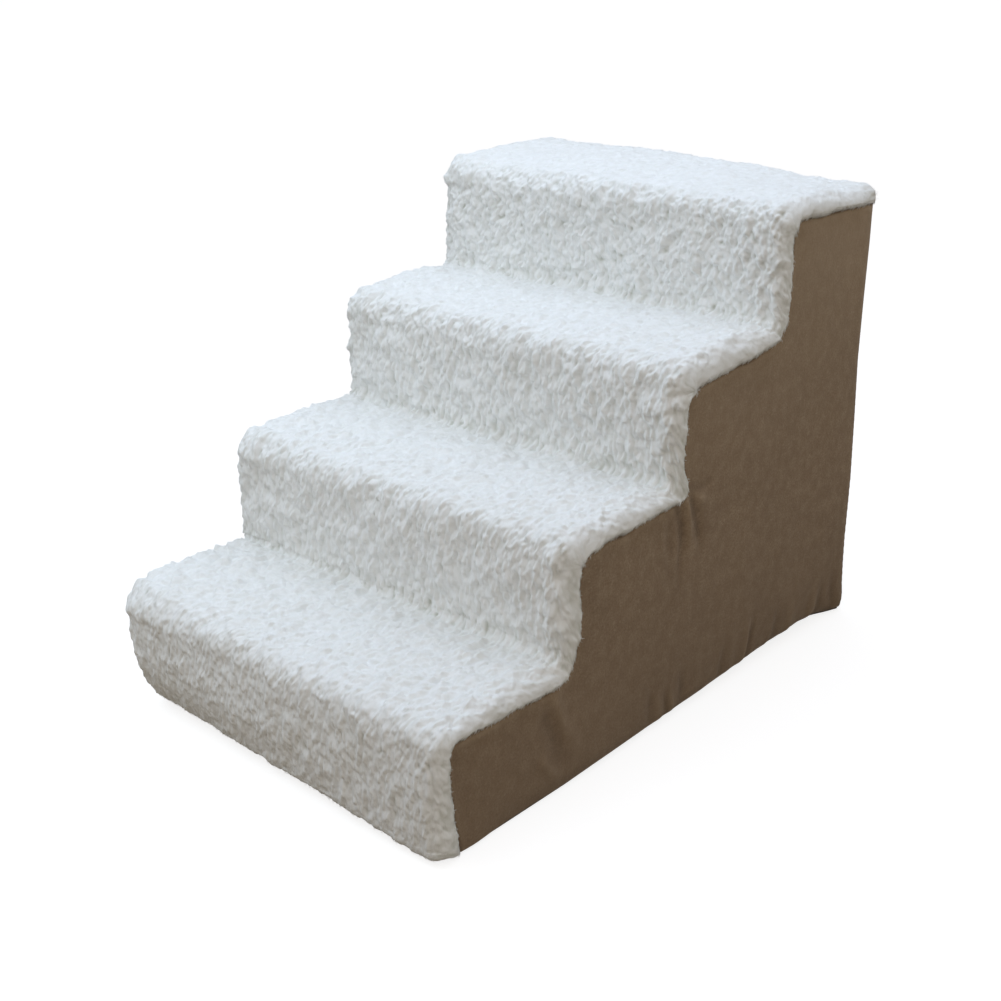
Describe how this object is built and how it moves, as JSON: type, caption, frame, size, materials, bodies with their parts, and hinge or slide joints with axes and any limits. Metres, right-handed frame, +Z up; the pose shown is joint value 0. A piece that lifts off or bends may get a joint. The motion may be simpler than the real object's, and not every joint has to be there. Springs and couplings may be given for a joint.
{
  "type": "pet stairs",
  "caption": "Soft pet stairs: foam steps under one fleece runner, with brown cloth sides and a zip across the foot of the back.",
  "frame": {"origin": "on the floor, under the middle of the whole part's width and depth", "axes": "+X across the steps to the right side as seen when climbing, +Y into the stairs in the direction of climbing, +Z up"},
  "size_m": [0.424, 0.6204, 0.4536],
  "materials": {
    "foam": "open-cell foam",
    "fleece": "curly white fleece",
    "brown_cloth": "brushed brown cloth",
    "base_cloth": "woven base cloth",
    "zip_tape": "woven tape",
    "zip_plastic": "moulded",
    "zip_metal": "satin"
  },
  "bodies": {
    "stairs": {"foam_slab_1": "foam", "foam_slab_2": "foam", "foam_slab_3": "foam", "foam_slab_4": "foam", "fleece_runner": "fleece", "side_panel_left": "brown_cloth", "side_panel_right": "brown_cloth", "back_panel_upper": "brown_cloth", "back_panel_lower": "brown_cloth", "base_panel": "base_cloth", "zip_tape_upper": "zip_tape", "zip_tape_lower": "zip_tape", "zip_teeth_upper": "zip_plastic", "zip_teeth_lower": "zip_plastic", "zip_top_stops": "zip_plastic", "zip_bottom_stop": "zip_plastic"},
    "slider": {"zip_slider": "zip_metal"},
    "pull": {"zip_pull": "zip_metal"}
  },
  "joints": [
    {"name": "zip_slide", "type": "slide", "parent": "stairs", "child": "slider", "axis": [1, 0, 0], "range_m": [0, 0.3527], "deforming": ["zip_teeth_upper", "zip_teeth_lower"]},
    {"name": "pull_hinge", "type": "hinge", "parent": "slider", "child": "pull", "pos_m": [-0.1797, 0.3083, 0.048], "axis": [0, 0, 1], "range_deg": [0, 180]}
  ]
}
